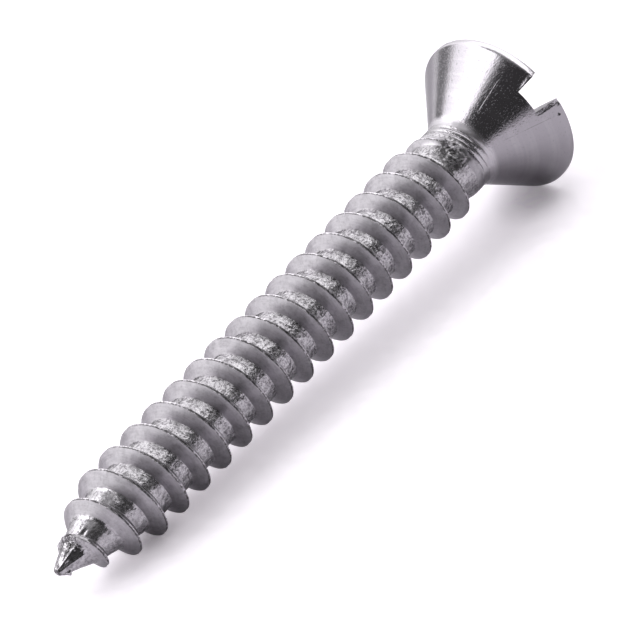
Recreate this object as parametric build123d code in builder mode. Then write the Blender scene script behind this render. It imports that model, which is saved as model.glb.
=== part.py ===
from build123d import *
from math import atan2, ceil, cos, radians, sin, tan
import os

# A self-tapping screw with a slotted, raised countersunk head and a sharp cone
# point, size ST4.2 x 32: one piece of steel wire, its head upset and its coarse
# right-hand thread rolled, to cut its own way into sheet metal.
#
# It is modelled standing on its point, along its own axis, and then laid down
# as it rests on a table: on the rim of its head and on one crest by the point.
# All lengths are in millimetres and all angles in degrees.

# Head
head_diameter = 7.78
head_angle = 76.4        # between the two sides of the cone
head_land = 0.33         # upright edge of the head, above the cone
edge_bevel = 0.06        # worn corners of that edge
crown_rise = 0.75        # rise of the rounded top above the edge
slot_width = 1.18        # at the floor of the slot
slot_depth = 1.75        # from the top of the crown
slot_draft = 8.0         # lean of each wall, outwards from the floor up

# Shank
length = 31.0            # from the point to the edge of the head, crown left out
neck_diameter = 3.43
neck_length = 0.95       # plain shank between the thread and the cone
neck_flare = 0.25        # bevel where the neck opens into the cone

# Thread
thread_diameter = 4.06
root_diameter = 2.91
thread_pitch = 1.41
flank_angle = 30.0       # each flank from square to the axis
runout_length = 1.10     # over which root and crest meet the neck

# Point
tip_diameter = 0.40      # blunt end of the point
root_point_length = 5.2  # over which the root swells to its full size
crest_point_length = 4.6 # over which the crest swells to its full size
thread_start = 0.45      # height of the first wisp of thread

# How the screw happens to lie, turned about its own axis from straight up
thread_phase = 51.0      # where the line of the crest would leave the tip
slot_direction = 63.7

# How the point and the thread are made
point_cones = 3          # cones, one on another, that make up the rounded point
sections_per_turn = 14
root_overlap = 0.12      # how far the thread is sunk into the core

head_radius = head_diameter / 2
neck_radius = neck_diameter / 2
thread_radius = thread_diameter / 2
root_radius = root_diameter / 2
tip_radius = tip_diameter / 2

# Heights above the point
rim_height = length - head_land
cone_height = (head_radius - neck_radius) / tan(radians(head_angle / 2))
neck_top = rim_height - cone_height
neck_bottom = neck_top - neck_length
runout_start = neck_bottom - runout_length
crown_height = length + crown_rise
slot_floor = crown_height - slot_depth


def swell(height, start_radius, full_radius, full_height):
    """Radius on the rounded point: it grows from the tip and levels off."""
    left = 1 - min(height, full_height) / full_height
    return full_radius - (full_radius - start_radius) * left**2


def rise(height, start_radius, end_radius):
    """Radius on the straight slope between the full thread and the neck."""
    share = min(max(height - runout_start, 0) / runout_length, 1)
    return start_radius + (end_radius - start_radius) * share


def root_radius_at(height):
    if height < runout_start:
        return swell(height, tip_radius, root_radius, root_point_length)
    return rise(height, root_radius, neck_radius)


def crest_radius_at(height):
    if height < runout_start:
        return swell(height, 0, thread_radius, crest_point_length)
    return rise(height, thread_radius, neck_radius - root_overlap / 2)


def thread_section(height):
    """Outline of the thread where its crest passes this height, and its plane."""
    turned = radians(thread_phase + 360 * height / thread_pitch)
    crest = crest_radius_at(height)
    depth = crest - root_radius_at(height) + root_overlap
    half_base = depth * tan(radians(flank_angle))
    base_above = root_radius_at(height + half_base) - root_overlap
    base_below = root_radius_at(height - half_base) - root_overlap
    outline = [
        (crest, 0),
        (base_above, half_base),
        (base_below, -half_base),
    ]
    plane = Plane(
        origin=(0, 0, height),
        x_dir=(cos(turned), sin(turned), 0),
        z_dir=(sin(turned), -cos(turned), 0),
    )
    return plane, outline


def thread_length(bottom, top):
    """The thread's ridge from one height to another, as one smooth loft."""
    steps = ceil((top - bottom) / thread_pitch * sections_per_turn)
    with BuildPart() as ridge:
        for step in range(steps + 1):
            plane, outline = thread_section(bottom + (top - bottom) * step / steps)
            with BuildSketch(plane):
                Polygon(*outline, align=None)
        loft()
    return ridge.part


def thread_turns():
    """The whole thread, one turn after another from the point up."""
    turns = []
    bottom = thread_start
    thread_end = runout_start + runout_length
    while bottom < thread_end:
        top = min(bottom + thread_pitch, thread_end)
        turns.append(thread_length(bottom, top))
        bottom = top
    return turns


# Core: point, root, neck and head, turned about the axis
point_heights = [root_point_length * step / point_cones for step in range(point_cones + 1)]
point_profile = [
    (swell(height, tip_radius, root_radius, root_point_length), height)
    for height in point_heights
]
with BuildPart() as core:
    with BuildSketch(Plane.XZ) as half_profile:
        with BuildLine():
            Line((0, 0), (tip_radius, 0))
            Polyline(*point_profile)
            Line((root_radius, root_point_length), (root_radius, runout_start))
            Line((root_radius, runout_start), (neck_radius, neck_bottom))
            Line((neck_radius, neck_bottom), (neck_radius, neck_top))
            Line((neck_radius, neck_top), (head_radius, rim_height))
            Line((head_radius, rim_height), (head_radius, length))
            TangentArc((0, crown_height), (head_radius, length), tangent=(1, 0))
            Line((0, crown_height), (0, 0))
        make_face()
        corners = half_profile.vertices()
        chamfer(corners.sort_by_distance((neck_radius, neck_top))[0], neck_flare)
        chamfer(corners.sort_by_distance((head_radius, rim_height))[0], edge_bevel)
        chamfer(corners.sort_by_distance((head_radius, length))[0], edge_bevel)
    revolve(axis=Axis.Z)

# Upright screw: the core with its thread, and the slot cut across the head
across_slot = radians(slot_direction + 90)
slot_plane = Plane(
    origin=(0, 0, slot_floor),
    x_dir=(cos(across_slot), sin(across_slot), 0),
    z_dir=(sin(across_slot), -cos(across_slot), 0),
)
half_floor = slot_width / 2
half_mouth = half_floor + slot_depth * tan(radians(slot_draft))
with BuildPart() as upright:
    add(core.part)
    add(thread_turns())
    with BuildSketch(slot_plane):
        Polygon(
            (-half_floor, 0),
            (half_floor, 0),
            (half_mouth, slot_depth),
            (-half_mouth, slot_depth),
            align=None,
        )
    extrude(amount=head_diameter, both=True, mode=Mode.SUBTRACT)

# The screw lies along X with its point towards -X. The head is wider than the
# thread, so the axis climbs towards the head. The origin is on the table,
# under the middle of the screw.
tilt = atan2(head_radius - thread_radius, rim_height - crest_point_length)
lying = Plane(origin=(0, 0, 0), x_dir=(-sin(tilt), 0, cos(tilt)), z_dir=(cos(tilt), 0, sin(tilt)))
reach = upright.part.moved(lying.location).bounding_box()
lying.origin = (-reach.center().X, 0, -reach.min.Z)

with BuildPart() as self_tapping_screw:
    with Locations(lying):
        add(upright.part)
self_tapping_screw.part.label = "self_tapping_screw"

os.makedirs("parts", exist_ok=True)
export_step(self_tapping_screw.part, "parts/self_tapping_screw.step")
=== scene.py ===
from math import asin, atan2, cos, degrees, exp, hypot, pi, radians, sin, sqrt, tan

import bmesh
import bpy
from mathutils import Matrix, Vector, noise


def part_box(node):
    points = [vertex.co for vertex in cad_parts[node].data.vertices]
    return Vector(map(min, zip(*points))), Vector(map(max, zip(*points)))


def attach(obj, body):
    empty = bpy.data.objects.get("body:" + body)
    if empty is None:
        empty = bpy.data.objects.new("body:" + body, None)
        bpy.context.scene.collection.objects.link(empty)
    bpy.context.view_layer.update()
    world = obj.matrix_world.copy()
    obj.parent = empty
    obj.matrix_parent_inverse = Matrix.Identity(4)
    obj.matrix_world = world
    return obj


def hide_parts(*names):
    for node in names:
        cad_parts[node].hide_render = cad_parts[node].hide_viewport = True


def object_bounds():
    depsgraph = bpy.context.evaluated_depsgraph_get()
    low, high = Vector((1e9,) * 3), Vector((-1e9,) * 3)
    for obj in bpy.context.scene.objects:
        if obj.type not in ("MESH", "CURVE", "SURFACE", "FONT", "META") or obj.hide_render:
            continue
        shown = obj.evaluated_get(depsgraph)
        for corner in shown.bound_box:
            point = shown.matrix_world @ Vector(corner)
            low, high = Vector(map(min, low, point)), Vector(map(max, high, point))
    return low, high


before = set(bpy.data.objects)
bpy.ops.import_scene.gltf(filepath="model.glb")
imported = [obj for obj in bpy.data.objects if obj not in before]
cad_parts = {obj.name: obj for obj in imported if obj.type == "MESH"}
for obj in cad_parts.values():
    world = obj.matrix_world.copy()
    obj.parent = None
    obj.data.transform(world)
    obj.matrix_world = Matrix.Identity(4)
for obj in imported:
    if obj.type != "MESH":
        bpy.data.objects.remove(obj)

cad_low, cad_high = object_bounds()

# Sizes of the screw, the same as the part's own: millimetres and degrees,
# measured along its axis from the point up.

# Head
head_radius = 3.89
head_half_angle = 38.2
head_land = 0.33         # upright edge of the head, above the cone
edge_round = 0.06        # worn corners of that edge
crown_rise = 0.75        # rise of the rounded top above the edge
slot_half_width = 0.59   # at the floor of the slot
slot_depth = 1.75        # from the top of the crown
slot_draft = 8.0         # lean of each wall, outwards from the floor up
slot_direction = 63.7

# Shank
length = 31.0            # from the point to the edge of the head, crown left out
neck_radius = 1.715
neck_length = 0.95       # plain shank between the thread and the cone
neck_flare = 0.38        # rounding where the neck opens into the cone

# Thread
thread_radius = 2.03
root_radius = 1.455
thread_pitch = 1.41
flank_angle = 30.0       # each flank from square to the axis
crest_width = 0.12
runout_length = 1.10     # over which root and crest meet the neck
thread_phase = 51.0      # where the line of the crest would leave the tip

# Point
tip_radius = 0.2
root_point_length = 5.2  # over which the root swells to its full size
crest_point_length = 4.6 # over which the crest swells to its full size

# Heights above the point
cone_slope = tan(radians(head_half_angle))
rim_height = length - head_land
neck_top = rim_height - (head_radius - neck_radius) / cone_slope
neck_bottom = neck_top - neck_length
runout_start = neck_bottom - runout_length
crown_height = length + crown_rise
slot_floor = crown_height - slot_depth

# Marks that the dies and the slot's cutter left
tip_flats = (14, 58, 101, 148, 195, 240, 285, 330)    # directions of the tip's flats
tip_flats_top = 1.3
tip_flats_fade = 0.5
tip_flatness = 0.92      # of the tip's radius, in the middle of a flat
neck_grooves = (27.70, 27.42, 27.15)
groove_direction = 50    # where the grooves are deepest
groove_reach = 55        # to each side of there, over which they grow faint
groove_depth = 0.075
faint_groove_depth = 0.006
groove_width = 0.07
burr_height = 0.10       # raised along one edge of the slot's near end
burr_width = 0.20
dent_depth = 0.08        # beaten in along its other edge
dent_width = 0.20

# How finely the screw is meshed
columns = 192            # points round the screw
slot_columns = 12        # of those, across each end of the slot
arc_columns = columns // 2 - slot_columns    # and from one of its ends to the other
thread_top = 27.2        # where the thread's mesh ends and the neck's begins
thread_rows = 18         # from one root to the next
crest_share = 1 / 9      # of the way from crest to root: the crest's edge
foot_share = 5 / 9       # and the flank's foot
neck_rows, neck_step = 26, 0.03
flare_rows, flare_step = 8, 0.07
cone_rows = 16
crown_rows = 12
sharp_angle = 38         # between two faces, beyond which their edge is hard


# ---------------------------------------------------------------- placing
# The screw lies on the rim of its head and on one crest by the point, so its
# axis climbs from the point to the head.
MM = 0.001
tilt = atan2(head_radius - thread_radius, rim_height - crest_point_length)
along = Vector((cos(tilt), 0, sin(tilt)))
upward = Vector((-sin(tilt), 0, cos(tilt)))
sideways = along.cross(upward)
box_low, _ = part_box("self_tapping_screw")
rim_reach = head_radius * cos(tilt) - (rim_height + edge_round) * sin(tilt)
point_end = Vector((box_low.x + tip_radius * sin(tilt) * MM, 0, box_low.z + rim_reach * MM))
lying = Matrix.Translation(point_end)
lying = lying @ Matrix((upward, sideways, along)).transposed().to_4x4()
lying = lying @ Matrix.Scale(MM, 4)


# ---------------------------------------------------------------- formulas in nodes
NUMBER, WHOLE, VECTOR = "NodeSocketFloat", "NodeSocketInt", "NodeSocketVector"


class Field:
    """A number inside a node tree, so that a formula there reads as one."""

    def __init__(self, tree, socket):
        self.tree = tree
        self.socket = socket

    def math(self, operation, *others):
        node = self.tree.nodes.new("ShaderNodeMath")
        node.operation = operation
        for value, socket in zip((self, *others), node.inputs):
            feed(self.tree, value, socket)
        return Field(self.tree, node.outputs[0])

    def __add__(self, other):
        return self.math("ADD", other)

    def __sub__(self, other):
        return self.math("SUBTRACT", other)

    def __mul__(self, other):
        return self.math("MULTIPLY", other)

    def __truediv__(self, other):
        return self.math("DIVIDE", other)

    def between(self, low, high):
        """Share of the way from low to high, held to 0..1."""
        node = self.tree.nodes.new("ShaderNodeMapRange")
        for value, socket in zip((self, low, high, 0.0, 1.0), node.inputs):
            feed(self.tree, value, socket)
        return Field(self.tree, node.outputs[0])

    def eased(self, low, high):
        """The same, leaving and arriving softly."""
        share = self.between(low, high)
        share.socket.node.interpolation_type = "SMOOTHSTEP"
        return share

    def band(self, low, high, fade):
        """1 from low to high, fading out over a short way inside both."""
        return self.between(low, low + fade) * self.between(high, high - fade)

    def line(self, wide, narrow):
        """A thin line where the number is nought: full within narrow, gone beyond wide."""
        return self.math("ABSOLUTE").between(wide, narrow)


def feed(tree, value, socket):
    if isinstance(value, Field):
        tree.links.new(value.socket, socket)
    else:
        socket.default_value = value


def new_node(tree, kind, inputs=(), **settings):
    """A node with its settings, and its inputs given by name."""
    node = tree.nodes.new(kind)
    for name, value in settings.items():
        setattr(node, name, value)
    for name, value in dict(inputs).items():
        feed(tree, value, node.inputs[name])
    return node


def output(node, name=0):
    """One of a node's outputs, the first unless it is named."""
    return Field(node.id_data, node.outputs[name])


def new_group(kind, name, inputs, outputs):
    """A node group with named inputs and outputs, and its input fields by name."""
    tree = bpy.data.node_groups.new(name, kind)
    for label, (socket_type, default) in inputs.items():
        socket = tree.interface.new_socket(label, in_out="INPUT", socket_type=socket_type)
        if default is not None:
            socket.default_value = default
    for label, socket_type in outputs.items():
        tree.interface.new_socket(label, in_out="OUTPUT", socket_type=socket_type)
    entry = tree.nodes.new("NodeGroupInput")
    fields = {label: Field(tree, entry.outputs[label]) for label in inputs}
    return tree, fields, tree.nodes.new("NodeGroupOutput")


# ---------------------------------------------------------------- rolled thread
def swell(height, start_radius, full_radius, reach):
    """Radius on the rounded point: it grows from the tip and levels off."""
    left = (height.math("MINIMUM", reach) / reach) * -1 + 1
    return full_radius - (full_radius - start_radius) * left * left


def profile_radius(sizes, place):
    """Radius of the surface on the root, a flank or the crest of the thread."""
    runout_end, height = place["runout end"], place["height"]
    runout = height.between(sizes["Runout Start"], runout_end)
    root = swell(height, sizes["Tip Radius"], sizes["Root Radius"], sizes["Root Point Length"])
    root = root + (sizes["Neck Radius"] - sizes["Root Radius"]) * runout
    seam = place["across"].between(sizes["Seam Width"], 0.0) * sizes["Seam Depth"]
    down_flank = place["offset"] - sizes["Crest Width"] / 2
    flank = place["crest"] - down_flank / sizes["Flank Slope"]
    ridge = (place["crest"] - seam).math("SMOOTH_MIN", flank, sizes["Crest Rounding"])

    # Past the run-out the ridge is gone
    gone = place["crest height"].between(runout_end, runout_end + 0.15)
    ridge = ridge - gone * 0.5
    return root.math("SMOOTH_MAX", ridge, sizes["Root Rounding"])


def thread_tree():
    """Rolls the thread: a long grid is wound round the axis as a helix, and each
    of its rows is set on the root, on a flank or on the crest."""
    tree, sizes, exit_node = new_group("GeometryNodeTree", "rolled thread", {
        "Pitch": (NUMBER, 1.0),
        "Crest Radius": (NUMBER, 2.0),
        "Root Radius": (NUMBER, 1.5),
        "Neck Radius": (NUMBER, 1.7),
        "Tip Radius": (NUMBER, 0.2),
        "Crest Width": (NUMBER, 0.1),
        "Crest Rounding": (NUMBER, 0.05),
        "Root Rounding": (NUMBER, 0.05),
        "Seam Width": (NUMBER, 0.1),
        "Seam Depth": (NUMBER, 0.03),
        "Flank Slope": (NUMBER, 0.5),
        "Root Point Length": (NUMBER, 5.0),
        "Crest Point Length": (NUMBER, 4.0),
        "Runout Start": (NUMBER, 25.0),
        "Runout Length": (NUMBER, 1.0),
        "Runout Sink": (NUMBER, 0.05),
        "Top": (NUMBER, 27.0),
        "Phase": (NUMBER, 0.0),
        "Columns": (WHOLE, 96),
        "Rows": (WHOLE, 18),
        "Root Roughness": (NUMBER, 0.02),
        "Crest Waviness": (NUMBER, 0.02),
        "Nick Depth": (NUMBER, 0.05),
        "Seed": (NUMBER, 0.0),
        "Material": ("NodeSocketMaterial", None),
    }, {"Geometry": "NodeSocketGeometry"})
    pitch, rows, around = sizes["Pitch"], sizes["Rows"], sizes["Columns"]
    grid = new_node(tree, "GeometryNodeMeshGrid", {
        "Vertices X": (sizes["Top"] / pitch + 1) * around + 2,
        "Vertices Y": rows + 1,
    })

    # Each point's turn along the helix, and its way from the crest to the next root
    index = output(new_node(tree, "GeometryNodeInputIndex"))
    step = (index / (rows + 1)).math("FLOOR")
    side = (index - step * (rows + 1)) / rows * 2 - 1
    turn = step / around - 0.5
    place = {
        "across": side.math("ABSOLUTE"),
        "crest height": turn * pitch,
        "runout end": sizes["Runout Start"] + sizes["Runout Length"],
    }

    # The thread's depth here, and from it the places of the crest's edge and flank's foot
    crest = swell(
        place["crest height"], 0.0, sizes["Crest Radius"], sizes["Crest Point Length"],
    )
    root = swell(
        place["crest height"], sizes["Tip Radius"], sizes["Root Radius"],
        sizes["Root Point Length"],
    )
    runout = place["crest height"].between(sizes["Runout Start"], place["runout end"])
    runout_rise = sizes["Neck Radius"] - sizes["Runout Sink"] - sizes["Crest Radius"]
    place["crest"] = crest + runout_rise * runout
    depth = (place["crest"] - root).math("MAXIMUM", 0.0)
    half_crest = sizes["Crest Width"] / 2
    half_base = half_crest + depth * sizes["Flank Slope"]
    place["offset"] = (
        half_crest * place["across"].between(0.0, crest_share)
        + (half_base - half_crest) * place["across"].eased(crest_share, foot_share)
        + (pitch / 2 - half_base) * place["across"].between(foot_share, 1.0)
    )
    height = place["crest height"] + place["offset"] * side.math("SIGN")
    place["height"] = height.math("MAXIMUM", 0.0).math("MINIMUM", sizes["Top"])

    radius = profile_radius(sizes, place)
    angle = (turn * 360 + sizes["Phase"]).math("RADIANS")
    wound = new_node(tree, "ShaderNodeCombineXYZ", {
        "X": radius * angle.math("COSINE"),
        "Y": radius * angle.math("SINE"),
        "Z": place["height"],
    })
    helix = new_node(tree, "GeometryNodeSetPosition", {
        "Geometry": output(grid),
        "Position": output(wound),
    })

    # How far each point is from the crest, for the wear and for the thread's finish
    marked = new_node(tree, "GeometryNodeStoreNamedAttribute", {
        "Geometry": output(helix),
        "Name": "from_crest",
        "Value": place["across"].math("MAXIMUM", depth.between(0.3, 0.0)),
    })
    closed = new_node(tree, "GeometryNodeMergeByDistance", {
        "Geometry": output(marked),
        "Distance": 0.0005,
    })
    worn = new_node(tree, "GeometryNodeSetPosition", {
        "Geometry": output(closed),
        "Offset": thread_wear(tree, sizes),
    })
    painted = new_node(tree, "GeometryNodeSetMaterial", {
        "Geometry": output(worn),
        "Material": sizes["Material"],
    })
    real = new_node(tree, "GeometryNodeRealizeInstances", {"Geometry": output(painted)})
    feed(tree, output(real), exit_node.inputs["Geometry"])
    return tree


def thread_wear(tree, sizes):
    """How the thread's skin is pushed in and out: a torn, pitted root and a slightly
    wavy crest with nicks. It fades out at the tip and towards the neck."""
    from_crest = output(new_node(
        tree, "GeometryNodeInputNamedAttribute", {"Name": "from_crest"}, data_type="FLOAT",
    ))
    here = output(new_node(tree, "GeometryNodeInputPosition"))
    height = output(new_node(tree, "ShaderNodeSeparateXYZ", {"Vector": here}), "Z")
    inside = height.between(0.3, 1.5) * height.between(sizes["Top"], sizes["Top"] - 0.4)

    def lumps(per_mm, seed_step):
        """A cloud of lumps, so many to the millimetre, unlike that of another step."""
        cloud = new_node(tree, "ShaderNodeTexNoise", {
            "Vector": here, "W": sizes["Seed"] + seed_step, "Scale": per_mm, "Detail": 0.0,
        }, noise_dimensions="4D")
        return output(cloud) - 0.5

    pits = lumps(4.5, 0.0) * sizes["Root Roughness"] * from_crest.between(0.55, 0.8)
    waves = lumps(1.6, 7.0) * sizes["Crest Waviness"] * from_crest.between(0.5, 0.0)
    nicks = lumps(4.0, 4.0).between(0.05, 0.3) * sizes["Nick Depth"]
    nicks = nicks * from_crest.between(0.1, 0.05)
    normal = output(new_node(tree, "GeometryNodeInputNormal"))
    push = new_node(
        tree, "ShaderNodeVectorMath",
        {0: normal, "Scale": (pits + waves - nicks) * inside}, operation="SCALE",
    )
    return output(push)


def rolled_thread(material):
    """The point, root and thread as a plain mesh, in millimetres along its axis."""
    blank = bpy.data.objects.new("thread blank", bpy.data.meshes.new("thread blank"))
    bpy.context.scene.collection.objects.link(blank)
    tree = thread_tree()
    modifier = blank.modifiers.new("rolled thread", "NODES")
    modifier.node_group = tree
    values = {
        "Pitch": thread_pitch,
        "Crest Radius": thread_radius,
        "Root Radius": root_radius,
        "Neck Radius": neck_radius,
        "Tip Radius": tip_radius,
        "Crest Width": crest_width,
        "Crest Rounding": 0.05,
        "Root Rounding": 0.07,
        "Seam Width": 0.12,
        "Seam Depth": 0.05,
        "Flank Slope": tan(radians(flank_angle)),
        "Root Point Length": root_point_length,
        "Crest Point Length": crest_point_length,
        "Runout Start": runout_start,
        "Runout Length": runout_length,
        "Runout Sink": 0.06,
        "Top": thread_top,
        "Phase": thread_phase,
        "Columns": columns,
        "Rows": thread_rows,
        "Root Roughness": 0.05,
        "Crest Waviness": 0.03,
        "Nick Depth": 0.06,
        "Seed": 3.0,
        "Material": material,
    }
    for item in tree.interface.items_tree:
        if item.in_out == "INPUT":
            modifier[item.identifier] = values[item.name]
    blank.update_tag()
    evaluated = blank.evaluated_get(bpy.context.evaluated_depsgraph_get())
    mesh = bpy.data.meshes.new_from_object(evaluated)
    blank.modifiers.remove(modifier)
    bpy.data.objects.remove(blank)
    return mesh


# ---------------------------------------------------------------- head and neck
def polar(radius, angle, height):
    return Vector((radius * cos(angle), radius * sin(angle), height))


def slotwise(across, lengthwise, height):
    """A point given across and along the slot."""
    turned = radians(slot_direction)
    return Vector((
        lengthwise * cos(turned) - across * sin(turned),
        lengthwise * sin(turned) + across * cos(turned),
        height,
    ))


def on_cone(height):
    return head_radius - (rim_height - height) * cone_slope


crown_sphere = (head_radius**2 + crown_rise**2) / (2 * crown_rise)


def on_crown(radius):
    return crown_height - crown_sphere + sqrt(crown_sphere**2 - radius**2)


def slot_half(height):
    """Half the slot's width at a height: its walls lean outwards."""
    return slot_half_width + (height - slot_floor) * tan(radians(slot_draft))


def slot_reach(radius, height):
    """Half the angle that the slot takes up where the head has this radius."""
    return asin(slot_half(height) / radius)


def slot_end(radius, height):
    """Half the length of the slot's wall where the head has this radius."""
    return sqrt(radius**2 - slot_half(height) ** 2)


def mouth_half(lengthwise):
    """Half the slot's width where it opens on the crown, found by closing in on it."""
    half = slot_half_width
    for _ in range(6):
        half = slot_half(on_crown(sqrt(half**2 + lengthwise**2)))
    return half


# The rim from the slot's floor to the crown, as (radius, height) points: up the cone,
# round its worn corner, up the land and round the land's worn corner
cone_heights = [slot_floor + rise for rise in (0, 0.12, 0.28, 0.44)]
cone_heights += [rim_height - drop for drop in (0.12, 0.05)]
rim_profile = [(on_cone(height), height) for height in cone_heights] + [
    (head_radius - 0.013, rim_height - 0.002),
    (head_radius - 0.001, rim_height + 0.04),
    (head_radius, rim_height + 0.10),
    (head_radius, length - 0.12),
    (head_radius - 0.004, length - 0.06),
    (head_radius - 0.022, length - 0.018),
    (head_radius - edge_round, on_crown(head_radius - edge_round)),
]


def add_patch(shape, rows, material_index, closed=False):
    """A grid of faces through rows of points; a closed one meets itself at the sides."""
    grid = [[shape.verts.new(point) for point in row] for row in rows]
    for lower, upper in zip(grid, grid[1:]):
        count = len(lower)
        for near in range(count if closed else count - 1):
            far = (near + 1) % count
            face = shape.faces.new((lower[near], lower[far], upper[far], upper[near]))
            face.material_index = material_index


def crowded(share):
    """Shares of an arc, closer together at its two ends."""
    return share - 0.11 * sin(2 * pi * share)


def even_angles():
    """Angles of the columns round the neck, in step with the thread's, from the one
    that comes nearest to the slot's first column."""
    start = radians(thread_phase)
    first = round((head_angles()[0] - start) / (2 * pi) * columns)
    return [start + 2 * pi * (first + column) / columns for column in range(columns)]


def head_angles():
    """Angles of the columns at the height of the slot's floor, the slot's two ends
    first and third, and the long arcs between them second and fourth."""
    radius = on_cone(slot_floor)
    reach = slot_reach(radius, slot_floor)
    angles = []
    for half_turn in (0, pi):
        middle = radians(slot_direction) + half_turn
        for column in range(slot_columns):
            across = slot_half_width * (2 * column / slot_columns - 1)
            angles.append(middle + asin(across / radius))
        for column in range(arc_columns):
            share = crowded(column / arc_columns)
            angles.append(middle + reach + (pi - 2 * reach) * share)
    return angles


def rounded_max(first, second, reach):
    """The larger of two numbers, with the change from one to the other rounded off."""
    gap = abs(first - second)
    return max(first, second) + max(reach - gap, 0) ** 3 / reach**2 / 6


def neck_and_cone():
    """Rows of points from the top of the thread to the floor of the slot. Their columns
    turn, on the way up, from the thread's even ones to those that meet the slot."""
    heights = [thread_top + neck_step * step for step in range(neck_rows + 1)]
    heights += [heights[-1] + flare_step * step for step in range(1, flare_rows + 1)]
    cone_rise = (slot_floor - heights[-1]) / cone_rows
    heights += [heights[-1] + cone_rise * step for step in range(1, cone_rows + 1)]
    columns_below, columns_above = even_angles(), head_angles()
    rows = []
    for height in heights:
        radius = rounded_max(neck_radius, on_cone(height), neck_flare)
        if height == thread_top:
            radius = neck_radius    # to meet the thread's last row
        share = min(max((height - neck_top) / (slot_floor - neck_top), 0), 1)
        rows.append([
            polar(radius, below + (above - below) * share, height)
            for below, above in zip(columns_below, columns_above)
        ])
    return rows


def rim_block(half_turn):
    """Rows of the rim on one side of the slot, from one end of the slot to the other."""
    rows = []
    for radius, height in rim_profile:
        reach = slot_reach(radius, height)
        start = radians(slot_direction) + half_turn + reach
        sweep = pi - 2 * reach
        rows.append([
            polar(radius, start + sweep * crowded(column / arc_columns), height)
            for column in range(arc_columns + 1)
        ])
    return rows


def lengthwise_shares():
    """Places along the slot, from 1 at one end to -1 at the other, that meet the rim's columns."""
    reach = slot_reach(*rim_profile[-1])
    inner = [
        cos(reach + (pi - 2 * reach) * crowded(column / arc_columns)) / cos(reach)
        for column in range(1, arc_columns)
    ]
    return [1, *inner, -1]


def crown_block(side):
    """Rows of the crown from the rim in to the slot's mouth; side is 1 or -1."""
    radius, height = rim_profile[-1]
    end = slot_end(radius, height)
    rows = []
    for step in range(crown_rows + 1):
        row = []
        for share in lengthwise_shares():
            lengthwise = end * share
            at_rim = sqrt(max(radius**2 - lengthwise**2, 0))
            at_mouth = mouth_half(lengthwise) if abs(share) < 1 else at_rim
            across = at_rim + (at_mouth - at_rim) * step / crown_rows
            distance = sqrt(across**2 + lengthwise**2)
            row.append(slotwise(side * across, side * lengthwise, on_crown(distance)))
        rows.append(row)
    return rows


def slot_wall(side):
    """Rows of one wall of the slot from its floor to its mouth; side is 1 or -1."""
    rim_radius, rim_top = rim_profile[-1]
    top_end = slot_end(rim_radius, rim_top)
    mouths = [
        on_crown(sqrt(mouth_half(top_end * share) ** 2 + (top_end * share) ** 2))
        for share in lengthwise_shares()
    ]
    rows = []
    for radius, height in rim_profile:
        end = slot_end(radius, height)
        climb = (height - slot_floor) / (rim_top - slot_floor)
        row = []
        for share, mouth in zip(lengthwise_shares(), mouths):
            here = slot_floor + ((mouth if abs(share) < 1 else rim_top) - slot_floor) * climb
            row.append(slotwise(side * slot_half(here), side * end * share, here))
        rows.append(row)
    return rows


def slot_bottom():
    """Rows of the slot's floor, from one wall to the other."""
    radius = on_cone(slot_floor)
    rows = []
    for column in range(slot_columns + 1):
        across = slot_half_width * (2 * column / slot_columns - 1)
        end = sqrt(radius**2 - across**2)
        rows.append([slotwise(across, end * share, slot_floor) for share in lengthwise_shares()])
    return rows


def point_cap():
    """Rings that close the blunt end of the point, as (radius, height) points."""
    rings = [
        (tip_radius, 0.0), (tip_radius * 0.85, -0.03), (tip_radius * 0.5, -0.05), (0.02, -0.055),
    ]
    start = radians(thread_phase)
    return [
        [polar(radius, start + 2 * pi * column / columns, height) for column in range(columns)]
        for radius, height in rings
    ]


# ---------------------------------------------------------------- marks of making and wear
# Each mark: its angle and height on the screw and how far it is from the axis, its
# reach, how far it pushes the skin out, and the height and size of its lumps
marks = [
    (27, 26.85, 1.70, 0.36, -0.03, 0.13, 0.11),     # torn skin where the thread runs out
    (42, 26.75, 1.70, 0.42, -0.04, 0.15, 0.11),
    (60, 26.80, 1.70, 0.38, -0.03, 0.13, 0.11),
    (10, 1.00, 0.95, 0.42, 0.08, 0.32, 0.20),       # folded start of the thread
    (-12, 0.85, 0.85, 0.36, 0.06, 0.28, 0.19),
    (16, 0.75, 0.65, 0.26, 0.04, 0.18, 0.15),
    (30, 1.65, 0.95, 0.30, 0.00, 0.18, 0.20),
    (128, 1.56, 1.28, 0.26, 0.11, 0.00, 0.10),      # its hooked end
    (144, 0.28, 0.36, 0.20, 0.20, 0.00, 0.10),      # nub and dents of the tip
    (30, 0.35, 0.40, 0.45, -0.05, 0.13, 0.22),
    (100, 0.40, 0.40, 0.40, -0.04, 0.07, 0.22),
    (82.9, 30.66, 3.88, 0.12, -0.07, 0.00, 0.10),   # chips on the rim and at the slot
    (76, 30.95, 3.86, 0.25, -0.05, 0.03, 0.10),
]


def mark_lift(point):
    """How far the marks push the skin out at a point."""
    lift = 0.0
    for angle, height, radius, reach, push, lump, size in marks:
        away = (point - polar(radius, radians(angle), height)).length / reach
        if away < 1:
            lift += (push + lump * noise.noise(point / size)) * (1 - away * away) ** 2
    return lift


def tip_lift(point):
    """Flats left where the dies pinched off the tip."""
    if point.z >= tip_flats_top:
        return 0.0
    angle = degrees(atan2(point.y, point.x))
    aside = min(abs((angle - flat + 180) % 360 - 180) for flat in tip_flats)
    share = min((tip_flats_top - point.z) / tip_flats_fade, 1)
    return hypot(point.x, point.y) * (tip_flatness / cos(radians(aside)) - 1) * share


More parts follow.
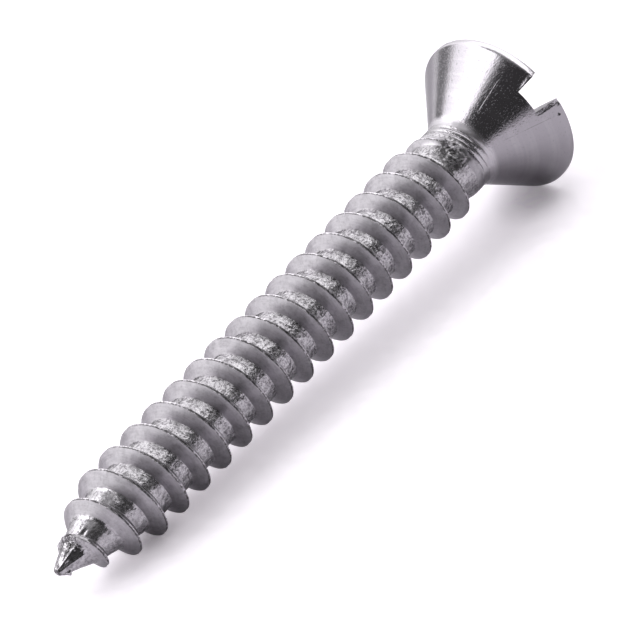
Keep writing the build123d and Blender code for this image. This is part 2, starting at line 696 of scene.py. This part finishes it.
def groove_lift(point):
    """Fine grooves round the neck, as steep as the thread and a little ragged."""
    if not thread_top - 0.3 < point.z < neck_top:
        return 0.0
    angle = degrees(atan2(point.y, point.x))
    aside = angle - groove_direction
    level = point.z - thread_pitch * aside / 360
    ragged = 0.03 * noise.noise(Vector((angle / 25, 0, point.z)))
    depth = groove_depth * max(1 - abs(aside) / groove_reach, 0) ** 0.5 + faint_groove_depth
    shares = [exp(-((level - groove + ragged) / groove_width) ** 2) for groove in neck_grooves]
    return -depth * sum(shares)


def slot_edge_lift(point):
    """Burr and dent along the two edges of the slot, where it ends on the near side."""
    across = point.dot(slotwise(1, 0, 0))
    near_end = point.dot(slotwise(0, 1, 0)) > 0 and point.z > slot_floor
    if not near_end or hypot(point.x, point.y) <= on_cone(point.z) - 0.01:
        return 0.0
    aside = abs(across) - slot_half(point.z)
    ragged = 0.7 + 0.6 * noise.noise(point / 0.13)
    if across < 0:
        return burr_height * ragged * max(1 - aside / burr_width, 0)
    return -dent_depth * ragged * max(1 - aside / dent_width, 0)


def add_marks(shape):
    for vert in shape.verts:
        point = vert.co
        lift = mark_lift(point) + tip_lift(point) + groove_lift(point) + slot_edge_lift(point)
        if lift:
            vert.co += Vector((point.x, point.y, 0)).normalized() * lift


# ---------------------------------------------------------------- the whole screw
def sharpen(mesh):
    """Hard edges: by their angle on the head, and on the thread only along the edges
    of the crest and the feet of the flanks."""
    mesh.shade_smooth()
    mesh.set_sharp_from_angle(angle=radians(sharp_angle))
    sharp = mesh.attributes["sharp_edge"].data
    from_crest = mesh.attributes["from_crest"].data
    for edge in mesh.edges:
        if mesh.vertices[edge.vertices[0]].co.z < thread_top:
            ends = [from_crest[corner].value for corner in edge.vertices]
            sharp[edge.index].value = any(
                all(abs(end - row) < 0.004 for end in ends) for row in (crest_share, foot_share)
            )


def whole_screw(rolled, upset, cut):
    """One closed skin in three finishes: rolled thread, upset neck and head, cut slot."""
    shape = bmesh.new()
    shape.from_mesh(rolled_thread(rolled))
    for face in shape.faces:
        face.material_index = 0
    add_patch(shape, point_cap(), 0, closed=True)
    add_patch(shape, neck_and_cone(), 1, closed=True)
    for half_turn, side in ((0, 1), (pi, -1)):
        add_patch(shape, rim_block(half_turn), 1)
        add_patch(shape, crown_block(side), 1)
        add_patch(shape, slot_wall(side), 2)
    add_patch(shape, slot_bottom(), 2)
    bmesh.ops.remove_doubles(shape, verts=shape.verts, dist=0.002)
    hole = [edge for edge in shape.edges if edge.is_boundary]
    bmesh.ops.holes_fill(shape, edges=hole)
    add_marks(shape)
    bmesh.ops.recalc_face_normals(shape, faces=shape.faces)
    mesh = bpy.data.meshes.new("screw")
    shape.to_mesh(mesh)
    shape.free()
    for material in (rolled, upset, cut):
        mesh.materials.append(material)
    sharpen(mesh)
    mesh.transform(lying)
    return mesh


# ---------------------------------------------------------------- finishes
def pitting_tree():
    """Small pits in the skin, and how it heaves between them."""
    tree, given, exit_node = new_group("ShaderNodeTree", "pitting", {
        "Place": (VECTOR, None), "Scale": (NUMBER, 8.0), "Detail": (NUMBER, 3.0),
        "Cover": (NUMBER, 0.4),
    }, {"Pits": NUMBER, "Lumps": NUMBER})
    cloud = output(new_node(tree, "ShaderNodeTexNoise", {
        "Vector": given["Place"], "Scale": given["Scale"], "Detail": given["Detail"],
        "Roughness": 0.6,
    }))
    feed(tree, cloud.between(given["Cover"], given["Cover"] - 0.1), exit_node.inputs["Pits"])
    feed(tree, cloud - 0.5, exit_node.inputs["Lumps"])
    return tree


def lines_tree():
    """Fine lines left round the axis by the dies, or along it by drawing."""
    tree, given, exit_node = new_group("ShaderNodeTree", "tool lines", {
        "Place": (VECTOR, None), "Round": (NUMBER, 20.0), "Along": (NUMBER, 20.0),
    }, {"Round": NUMBER, "Along": NUMBER})
    parts = new_node(tree, "ShaderNodeSeparateXYZ", {"Vector": given["Place"]})
    x, y, z = output(parts, "X"), output(parts, "Y"), output(parts, "Z")
    radius = (x * x + y * y).math("SQRT")
    rings = new_node(tree, "ShaderNodeCombineXYZ", {"X": radius, "Z": z, "Y": x * 0.04})
    rings = new_node(tree, "ShaderNodeTexNoise", {
        "Vector": output(rings), "Scale": given["Round"], "Detail": 2.0,
    })
    feed(tree, output(rings) - 0.5, exit_node.inputs["Round"])
    rays = new_node(tree, "ShaderNodeCombineXYZ", {
        "X": x / radius, "Y": y / radius, "Z": z * 0.03,
    })
    rays = new_node(tree, "ShaderNodeTexNoise", {
        "Vector": output(rays), "Scale": given["Along"], "Detail": 2.0,
    })
    feed(tree, output(rays) - 0.5, exit_node.inputs["Along"])
    return tree


def grouped(tree, group, inputs):
    return new_node(tree, "ShaderNodeGroup", inputs, node_tree=group)


def blend(tree, share, first, second):
    """A colour that goes from the first to the second."""
    mix = new_node(tree, "ShaderNodeMix", {0: share, 6: first, 7: second}, data_type="RGBA")
    return output(mix, 2)


def steel(name):
    """A steel of its own finish, and the place on the screw in millimetres."""
    material = bpy.data.materials.new(name)
    material.use_nodes = True
    tree = material.node_tree
    surface = tree.nodes["Principled BSDF"]
    surface.inputs["Metallic"].default_value = 1.0
    surface.inputs["Specular Tint"].default_value = (0.62, 0.62, 0.62, 1)
    here = new_node(tree, "ShaderNodeTexCoord")
    place = new_node(tree, "ShaderNodeMapping", {
        "Vector": output(here, "Object"),
        "Location": point_end,
        "Rotation": lying.to_euler(),
        "Scale": (MM, MM, MM),
    }, vector_type="TEXTURE")
    return material, tree, surface, output(place)


def finish(tree, surface, colour, roughness, height):
    """Joins colour, roughness and a height in millimetres to the steel."""
    feed(tree, colour, surface.inputs["Base Color"])
    feed(tree, roughness, surface.inputs["Roughness"])
    bump = new_node(tree, "ShaderNodeBump", {"Height": height, "Distance": MM})
    feed(tree, output(bump), surface.inputs["Normal"])


def near(tree, place, spot, reach):
    """A patch round a spot: full in its middle half, fading out to its reach."""
    gap = new_node(tree, "ShaderNodeVectorMath", {0: place, 1: spot}, operation="DISTANCE")
    return output(gap, "Value").between(reach, reach / 2)


def skin_lumps(tree, place, per_mm, detail=3.0):
    """How the skin heaves, with so many lumps to the millimetre."""
    cloud = grouped(tree, pitting, {"Place": place, "Scale": per_mm, "Detail": detail})
    return output(cloud, "Lumps")


clean_steel = (0.360, 0.342, 0.370, 1)
pale_steel = (0.50, 0.480, 0.510, 1)
dark_steel = (0.10, 0.095, 0.10, 1)
# for burnished crests, and for painted highlights on the neck's flare and the head's land
burnish_and_sheen_steel = (0.63, 0.60, 0.645, 1)
# for the painted glints on the thread's root
painted_glint_steel = (0.84, 0.83, 0.85, 1)
pitting = pitting_tree()
tool_lines = lines_tree()


def rolled_steel():
    """Thread: fine lines on the flanks, a torn root with painted glints, worn crests and painted
    shade in their fold.
    """
    material, tree, surface, place = steel("rolled steel")
    height = output(new_node(tree, "ShaderNodeSeparateXYZ", {"Vector": place}), "Z")
    from_crest = output(new_node(
        tree, "ShaderNodeAttribute", {}, attribute_name="from_crest",
    ), "Fac")
    torn = skin_lumps(tree, place, 3.0, detail=2.0)
    grain = skin_lumps(tree, place, 9.0, detail=2.0)
    cloud = skin_lumps(tree, place, 2.2)
    lines = output(grouped(tree, tool_lines, {"Place": place, "Round": 14.0}), "Round")

    # Where the screw is smooth and rough: the root roughens from the point up and
    # calms down again before the neck
    tip = height.between(1.5, 1.1)
    root = from_crest.eased(0.5, 0.62) * height.between(0.6, 1.0)
    from_point = height.between(2.0, 7.0) * 0.6 + 0.4
    to_neck = height.between(26.8, 25.2) * 0.5 + 0.5
    rough = (root * from_point * to_neck).math("MAXIMUM", tip * 0.6)

    # Skin, its bright and dark specks, and the darker blotches on it. The specks on the rough root
    # are its pitting, lit up as painted glints and darkened as painted dark reflections.
    tone = cloud * 1.4 + lines * 1.2 + 0.55 + root * 0.25
    colour = blend(tree, tone, clean_steel, pale_steel)
    specks = grain + torn * 0.5
    colour = blend(tree, specks.between(0.02, 0.12) * rough * 0.32, colour, painted_glint_steel)
    dark_specks = specks.between(-0.03, -0.13) * (rough * 0.5 + 0.06)
    colour = blend(tree, dark_specks, colour, dark_steel)
    blotches = torn.between(0.03, -0.12) + grain.between(0.0, -0.15)
    colour = blend(tree, blotches * 0.13, colour, dark_steel)

    # Burnished crest, broken in places, with painted shade along the crease of the fold in its
    # middle
    crest = from_crest.between(0.13, 0.10)
    colour = blend(tree, crest * 0.5, colour, burnish_and_sheen_steel)
    colour = blend(tree, crest * specks.between(-0.01, -0.08) * 0.7, colour, dark_steel)
    fold = from_crest.between(0.075, 0.04) * specks.between(0.14, 0.06)
    colour = blend(tree, fold * 0.9, colour, dark_steel)

    # Torn skin where the thread runs out, and the crumpled fold where it starts
    torn_skin = near(tree, place, polar(1.65, radians(38), 26.6), 0.75)
    crumple = near(tree, place, polar(0.80, radians(8), 0.95), 0.60)
    ripped = torn_skin.math("MAXIMUM", crumple)
    colour = blend(tree, ripped * specks.between(0.10, -0.06) * 0.9, colour, dark_steel)

    roughness = cloud * 0.12 + grain * 0.15 + 0.36 - root * 0.10 - tip * 0.14
    bumps = (
        (torn * 0.05 + grain * 0.021) * (rough + crumple * 2)
        + grain * 0.002 + lines * 0.0015
    )
    finish(tree, surface, colour, roughness, bumps)
    return material


def from_plane(x, y, turned):
    """Distance from the upright plane through the axis that is turned by an angle."""
    return y * cos(radians(turned)) - x * sin(radians(turned))


def scratches(x, y, height, ragged):
    """A bright scratch and a dark scored line up the cone, both broken in places."""
    scratch = from_plane(x, y, 36).line(0.016, 0.004) * x.between(0, 0.1)
    scratch = scratch * height.band(28.55, 30.0, 0.15) * ragged.between(-0.08, 0.04)
    leaning = from_plane(x, y, 81.5) - (height - 29.2) * 0.1
    score = leaning.line(0.022, 0.006) * y.between(0, 0.1)
    score = score * height.band(28.5, 30.6, 0.2) * ragged.between(-0.06, 0.03)
    return scratch, score


def beaten_edge(x, y, height, ragged):
    """The near end of the slot: the metal beaten in along its edges, wider on one side,
    and the dark line that bounds it, painted shade in the crease there."""
    across = from_plane(x, y, slot_direction)
    lengthwise = from_plane(x, y, slot_direction - 90)
    near_end = lengthwise.between(0.0, 0.2) * height.between(slot_floor - 0.02, slot_floor)
    half_width = (height - slot_floor) * tan(radians(slot_draft)) + slot_half_width
    from_wall = across.math("ABSOLUTE") - half_width
    edge = from_wall + ragged * 0.12 - across.between(-0.3, 0.3) * 0.17
    return edge.between(0.01, -0.01) * near_end, edge.line(0.035, 0.01) * near_end


def upset_steel():
    """Head and neck: smooth, with small pits, faint rings, a scratch and, along the
    near end of the slot, the rough edge that the cutter left. A painted sheen lies on
    the neck, and painted highlights lie on the flare, the land and the beaten edge."""
    material, tree, surface, place = steel("upset steel")
    parts = new_node(tree, "ShaderNodeSeparateXYZ", {"Vector": place})
    x, y, height = output(parts, "X"), output(parts, "Y"), output(parts, "Z")
    pits = grouped(tree, pitting, {"Place": place, "Scale": 9.0, "Cover": 0.36})
    grain = grouped(tree, pitting, {"Place": place, "Scale": 17.0, "Cover": 0.37})
    cloud = skin_lumps(tree, place, 1.5)
    lines = grouped(tree, tool_lines, {"Place": place, "Round": 3.0, "Along": 16.0})
    rings, streaks = output(lines, "Round"), output(lines, "Along")
    scratch, score = scratches(x, y, height, output(pits, "Lumps"))
    beaten, edge_line = beaten_edge(x, y, height, output(pits, "Lumps"))
    neck = height.between(neck_top + 0.2, neck_top - 0.1)
    flare = height.band(neck_top - 0.3, neck_top + 0.25, 0.15)
    painted_highlight_side = from_plane(x, y, slot_direction).between(0.3, -0.3)
    land = height.between(rim_height - 0.03, rim_height + 0.03) * painted_highlight_side

    # The neck is paler as a painted sheen. The flare and one half of the land take the pale
    # burnished colour as painted highlights.
    tone = cloud * 0.4 + rings * 1.4 + streaks * 0.2 + neck * 1.4 + beaten * 0.5
    colour = blend(tree, tone, clean_steel, pale_steel)
    colour = blend(tree, output(pits, "Pits") * 0.45, colour, dark_steel)
    # The beaten band is paler in the tone above, partly as beaten metal and partly as a painted
    # highlight. The dark line along it is painted shade in its crease.
    dark_lines = (score * 0.45).math("MAXIMUM", edge_line * 0.9)
    colour = blend(tree, dark_lines, colour, dark_steel)
    colour = blend(tree, flare * 0.5, colour, burnish_and_sheen_steel)
    colour = blend(tree, land, colour, burnish_and_sheen_steel)
    roughness = cloud * 0.08 + neck * 0.1 + flare * 0.12 + 0.11
    bumps = (
        output(grain, "Lumps") * 0.005
        + output(pits, "Lumps") * (neck * 0.012 + beaten * 0.03 + 0.004)
        + streaks * 0.001
        + rings * neck * 0.03
        - output(grain, "Pits") * 0.0022
        - output(pits, "Pits") * 0.003
        - scratch * 0.004
    )
    finish(tree, surface, colour, roughness, bumps)
    return material


def cut_steel():
    """Slot: streaked lengthwise by the cutter's teeth."""
    material, tree, surface, place = steel("cut steel")
    along_slot = new_node(tree, "ShaderNodeMapping", {
        "Vector": place,
        "Rotation": (0, 0, radians(slot_direction)),
        "Scale": (8.0, 0.7, 0.7),
    }, vector_type="TEXTURE")
    streaks = skin_lumps(tree, output(along_slot), 9.0)
    grain = grouped(tree, pitting, {"Place": place, "Scale": 14.0, "Cover": 0.38})
    colour = blend(tree, streaks * 0.8 + 0.3, clean_steel, pale_steel)
    colour = blend(tree, output(grain, "Pits") * 0.4, colour, dark_steel)
    bumps = streaks * 0.02 + output(grain, "Lumps") * 0.008
    finish(tree, surface, colour, streaks * 0.2 + 0.35, bumps)
    return material


screw = bpy.data.objects.new("screw_body", whole_screw(rolled_steel(), upset_steel(), cut_steel()))
bpy.context.scene.collection.objects.link(screw)
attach(screw, "root")
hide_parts("self_tapping_screw")


# ---------------------------------------------------------------- light, table and camera
studio_radius = 2.0
panel_columns, panel_rows = 12, 6
floor_reach = 3.0
floor_gap = 0.00001      # below the screw, so that the two don't share a surface


def direction(azimuth, elevation):
    a, e = radians(azimuth), radians(elevation)
    return Vector((cos(a) * cos(e), sin(a) * cos(e), sin(e)))


def part_way(limits, share):
    return limits[0] + (limits[1] - limits[0]) * share


def seen_directly(tree):
    """1 for what the camera sees, also in a mirror or through glass."""
    rays = new_node(tree, "ShaderNodeLightPath")
    seen = output(rays, "Is Camera Ray").math("MAXIMUM", output(rays, "Is Glossy Ray"))
    return seen.math("MAXIMUM", output(rays, "Is Transmission Ray"))


def add_panel(name, azimuths, elevations, radiance):
    """A curved sheet of the studio round the screw: a soft lamp, a lit wall or a dark
    flag. The steel mirrors it and it lights the table, out of the camera's sight."""
    points = [
        direction(
            part_way(azimuths, column / panel_columns), part_way(elevations, row / panel_rows),
        ) * studio_radius
        for row in range(panel_rows + 1) for column in range(panel_columns + 1)
    ]
    width = panel_columns + 1
    corners = [
        row * width + column for row in range(panel_rows) for column in range(panel_columns)
    ]
    faces = [(corner, corner + width, corner + width + 1, corner + 1) for corner in corners]
    mesh = bpy.data.meshes.new(name)
    mesh.from_pydata(points, [], faces)
    material = bpy.data.materials.new(name)
    material.use_nodes = True
    tree = material.node_tree
    tree.nodes.clear()
    glow = new_node(tree, "ShaderNodeEmission", {"Strength": radiance})
    new_node(tree, "ShaderNodeOutputMaterial", {"Surface": output(glow)})
    mesh.materials.append(material)
    panel = bpy.data.objects.new(name, mesh)
    bpy.context.scene.collection.objects.link(panel)
    panel.visible_camera = False


def add_sky():
    """A white world: plain grey as light, and white where it is seen."""
    world = bpy.data.worlds.new("studio")
    bpy.context.scene.world = world
    world.use_nodes = True
    tree = world.node_tree
    tree.nodes.clear()
    sky = new_node(tree, "ShaderNodeBackground", {
        "Color": (1, 1, 1, 1),
        "Strength": seen_directly(tree) * 0.4 + 0.6,
    })
    new_node(tree, "ShaderNodeOutputWorld", {"Surface": output(sky)})


def white_paper():
    """Paper, faintly mottled by its fibres. Its own glow, which only whitens what is
    seen of it, is dimmed round the two spots where the screw touches it, as painted contact
    shadows."""
    material = bpy.data.materials.new("white paper")
    material.use_nodes = True
    tree = material.node_tree
    surface = tree.nodes["Principled BSDF"]
    surface.inputs["Roughness"].default_value = 0.8
    surface.inputs["Specular IOR Level"].default_value = 0.2
    surface.inputs["Emission Color"].default_value = (1, 0.94, 1, 1)
    here = output(new_node(tree, "ShaderNodeTexCoord"), "Object")
    fibres = output(new_node(tree, "ShaderNodeTexNoise", {
        "Vector": here, "Scale": 1800.0, "Detail": 2.0,
    }))
    grey_paper, pale_paper = (0.77, 0.745, 0.79, 1), (0.87, 0.845, 0.89, 1)
    colour = blend(tree, fibres.between(0.3, 0.7), grey_paper, pale_paper)
    feed(tree, colour, surface.inputs["Base Color"])

    # Painted contact shadows: the camera's glow falls to four tenths at each contact. The head's
    # spot is moved a little off its contact, so that this painted shadow lies where the cast one
    # falls.
    head_contact = lying @ Vector((-head_radius, 0, rim_height + edge_round))
    head_shade = head_contact + Vector((-0.0008, -0.0008, 0))
    thread_contact = lying @ Vector((-thread_radius, 0, crest_point_length))
    away = output(new_node(tree, "ShaderNodeLightPath"), "Is Camera Ray")
    for spot, spread in ((head_shade, 0.0030), (thread_contact, 0.0016)):
        gap = new_node(tree, "ShaderNodeVectorMath", {0: here, 1: spot}, operation="DISTANCE")
        away = away * (output(gap, "Value").eased(0.0002, spread) * 0.6 + 0.4)
    feed(tree, seen_directly(tree) * 0.03 + away * 0.34, surface.inputs["Emission Strength"])
    return material


def add_floor():
    mesh = bpy.data.meshes.new("floor")
    z = cad_low.z - floor_gap
    sides = ((-1, -1), (1, -1), (1, 1), (-1, 1))
    corners = [(x * floor_reach, y * floor_reach, z) for x, y in sides]
    mesh.from_pydata(corners, [], [(0, 1, 2, 3)])
    mesh.materials.append(white_paper())
    floor = bpy.data.objects.new("floor", mesh)
    bpy.context.scene.collection.objects.link(floor)


def add_camera(place, target, roll, lens):
    """A camera that looks from one place at another, rolled about its line of sight."""
    data = bpy.data.cameras.new("camera")
    data.lens = lens
    camera = bpy.data.objects.new("camera", data)
    camera.location = place
    camera.rotation_mode = "QUATERNION"
    sight = (target - place).to_track_quat("-Z", "Y")
    camera.rotation_quaternion = sight @ Matrix.Rotation(radians(roll), 3, "Z").to_quaternion()
    bpy.context.scene.collection.objects.link(camera)
    bpy.context.scene.camera = camera


# Each panel's azimuths and elevations in degrees, azimuth 0 along the screw past
# its head, and its brightness
add_panel("back wall", (104, 180), (-1, 32), 1.71)
add_panel("wall behind the head", (60, 84), (-1, 32), 1.60)
add_panel("gap in the wall", (84, 104), (8, 28), 0.45)
add_panel("wall under the gap", (84, 104), (-1, 8), 1.60)
add_panel("wall over the gap", (84, 104), (28, 32), 1.71)
add_panel("right wall", (0, 60), (-1, 32), 1.40)
add_panel("right flag", (-60, 0), (-1, 32), 0.16)
add_panel("left softbox", (90, 180), (32, 46), 2.60)
add_panel("key softbox", (90, 180), (46, 68), 3.50)
add_panel("back softbox", (-60, 90), (32, 68), 1.80)
add_panel("front flag", (-180, -60), (-1, 50), 0.075)
add_panel("upper flag", (-180, -60), (50, 68), 0.31)
add_panel("ceiling", (-180, 180), (68, 90), 0.55)
add_sky()
add_floor()
add_camera(
    place=Vector((-0.086054, -0.110816, 0.077022)),
    target=Vector((0.000678, -0.000587, 0.002920)),
    roll=-22.071,
    lens=216.2,
)
bpy.context.scene.view_settings.view_transform = "Standard"
